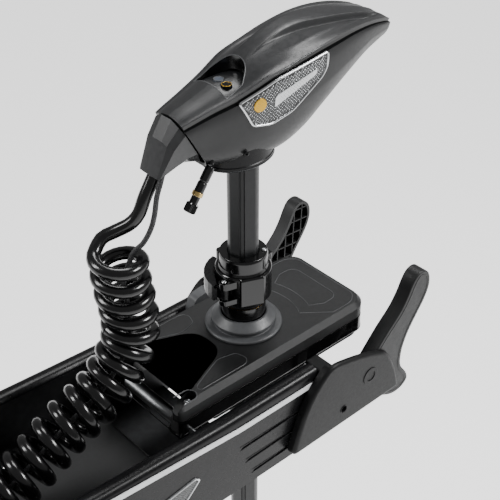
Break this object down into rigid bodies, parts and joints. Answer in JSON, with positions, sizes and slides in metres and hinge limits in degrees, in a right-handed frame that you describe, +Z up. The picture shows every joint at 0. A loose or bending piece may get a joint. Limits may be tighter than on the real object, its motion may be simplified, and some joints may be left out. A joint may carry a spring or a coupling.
{
  "type": "trolling motor",
  "caption": "Bow-mount electric trolling motor: tilting deck base, steering housing, sliding shaft with depth collar, control head on a coil cord, and a propeller pod.",
  "frame": {"origin": "middle of the base floor's underside, the face that is bolted to the deck", "axes": "+Z up, +X outboard over the bow, +Y to port"},
  "size_m": [0.645, 0.231, 1.451],
  "materials": {
    "alloy": "satin",
    "satin_black": "satin",
    "textured_black": "textured",
    "gloss_black": "gloss",
    "charcoal": "satin",
    "dark_grey": "matte",
    "ring_grey": "satin",
    "light_stripe": "gloss",
    "composite": "satin",
    "steel": "brushed",
    "chrome": "polished",
    "brass": "machined",
    "copper": "enamelled winding",
    "magnet": "matte",
    "board": "matte",
    "rubber": "satin",
    "pod_paint": "satin paint",
    "prop_black": "satin"
  },
  "bodies": {
    "base": {"base_channel": "alloy", "side_panel_port": "satin_black", "side_panel_starboard": "satin_black", "stripe_port": "light_stripe", "stripe_starboard": "light_stripe", "deck_pad": "textured_black", "bow_bracket_port": "dark_grey", "bow_bracket_starboard": "dark_grey", "motor_rest_port": "textured_black", "motor_rest_starboard": "textured_black", "pivot_rod": "steel", "inboard_end_cap": "satin_black", "cord_gland": "rubber", "pedal_pin": "steel", "coil_cord": "rubber", "coil_cord_lower_lead": "rubber"},
    "pedal": {"release_pedal": "ring_grey"},
    "housing": {"housing_cover": "textured_black", "housing_body": "satin_black", "shaft_ring": "ring_grey", "lower_bush": "brass", "steering_motor": "steel"},
    "drive_sleeve": {"steering_gear": "brass"},
    "worm": {"steering_worm": "steel"},
    "column": {"shaft_tube": "composite", "shaft_wiring": "rubber", "head_lower_shell": "dark_grey", "head_top_cover": "charcoal", "head_trim_band": "gloss_black", "badge_rim_port": "chrome", "badge_rim_starboard": "chrome", "badge_plate_port": "gloss_black", "badge_plate_starboard": "gloss_black", "head_nose": "textured_black", "status_window": "gloss_black", "circuit_board": "board", "neck_skirt": "satin_black", "connector_body": "rubber", "connector_cap": "gloss_black", "motor_tube": "pod_paint", "nose_cone": "pod_paint", "rear_end_bell": "pod_paint", "rear_bearing": "steel", "brush_plate": "dark_grey", "front_bearing": "steel", "magnet_upper": "magnet", "magnet_lower": "magnet", "skeg": "pod_paint", "coil_cord_upper_lead": "rubber", "braided_lead": "rubber"},
    "collar": {"depth_collar": "gloss_black"},
    "lever": {"collar_lever": "satin_black"},
    "power_button": {"power_button": "ring_grey"},
    "mode_button": {"mode_button": "ring_grey"},
    "propeller": {"motor_shaft": "steel", "armature": "copper", "commutator": "brass", "propeller": "prop_black", "propeller_nut": "steel"}
  },
  "joints": [
    {"name": "housing_tilt", "type": "hinge", "parent": "base", "child": "housing", "pos_m": [0.067, -0.0075, 0.098], "axis": [0, -1, 0], "range_deg": [0, 90], "deforming": ["coil_cord", "coil_cord_lower_lead"]},
    {"name": "steering", "type": "hinge", "parent": "housing", "child": "drive_sleeve", "pos_m": [0.2, -0.0075, 0.138], "axis": [0, 0, 1], "range_deg": [-180, 180]},
    {"name": "shaft_slide", "type": "slide", "parent": "drive_sleeve", "child": "column", "axis": [0, 0, 1], "range_m": [0, 0.66], "deforming": ["coil_cord_upper_lead", "braided_lead"]},
    {"name": "collar_slide", "type": "slide", "parent": "column", "child": "collar", "axis": [0, 0, 1], "range_m": [0, 0.11]},
    {"name": "collar_lever_turn", "type": "hinge", "parent": "collar", "child": "lever", "pos_m": [0.165, -0.0165, 0.2], "axis": [0, 0, 1], "range_deg": [0, 100]},
    {"name": "propeller_spin", "type": "hinge", "parent": "column", "child": "propeller", "pos_m": [0.2, -0.0075, -0.822], "axis": [1, 0, 0], "continuous": true},
    {"name": "power_button_press", "type": "slide", "parent": "column", "child": "power_button", "axis": [0, 0, -1], "range_m": [0, 0.0015], "stiffness_N_per_m": 400},
    {"name": "mode_button_press", "type": "slide", "parent": "column", "child": "mode_button", "axis": [0, 0, -1], "range_m": [0, 0.0015], "stiffness_N_per_m": 400},
    {"name": "pedal_press", "type": "hinge", "parent": "base", "child": "pedal", "pos_m": [0.202, 0.0728, 0.084], "axis": [0, 1, 0], "range_deg": [0, 20], "stiffness_Nm_per_rad": 1},
    {"name": "worm_turn", "type": "hinge", "parent": "housing", "child": "worm", "pos_m": [0.2, 0.0408, 0.114], "axis": [1, 0, 0], "range_deg": [-4320, 4320]}
  ],
  "couplings": [
    {"joint": "worm_turn", "follows": "steering", "ratio": 24}
  ]
}
